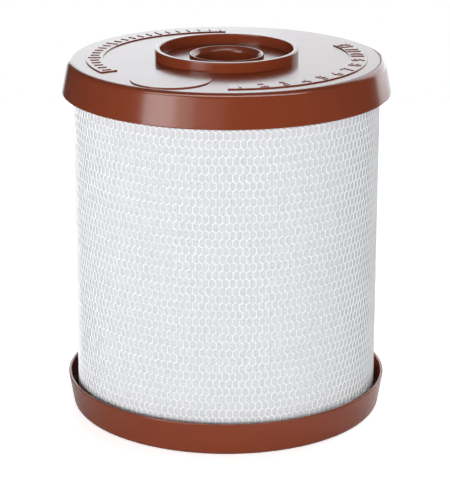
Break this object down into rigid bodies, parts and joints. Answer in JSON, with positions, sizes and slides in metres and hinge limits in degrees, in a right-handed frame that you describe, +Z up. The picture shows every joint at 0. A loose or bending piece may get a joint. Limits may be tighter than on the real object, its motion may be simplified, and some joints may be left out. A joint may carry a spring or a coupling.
{
  "type": "water filter cartridge",
  "caption": "Radial-flow water filter cartridge: net-wrapped carbon block between a skirted, open-hub end cap and a closed dish-shaped end cap.",
  "frame": {"origin": "centre of the foot ring's lower face, which the cartridge stands on", "axes": "+Z up the cartridge's axis, out through the open hub; -Y is the side that faces the viewer"},
  "size_m": [0.1498, 0.1498, 0.1699],
  "materials": {
    "end_caps": "glossy moulded polypropylene",
    "netting": "white extruded net",
    "nonwoven": "white non-woven",
    "carbon": "sintered activated carbon",
    "core": "white polypropylene",
    "hot_melt": "cloudy hot melt"
  },
  "bodies": {
    "root": {"upper_end_cap": "end_caps", "lower_end_cap": "end_caps", "outer_netting": "netting", "prefilter_wrap": "nonwoven", "filter_block": "carbon", "core_wrap": "nonwoven", "core_tube": "core", "upper_bond_ring": "hot_melt", "lower_bond_ring": "hot_melt"}
  },
  "joints": []
}
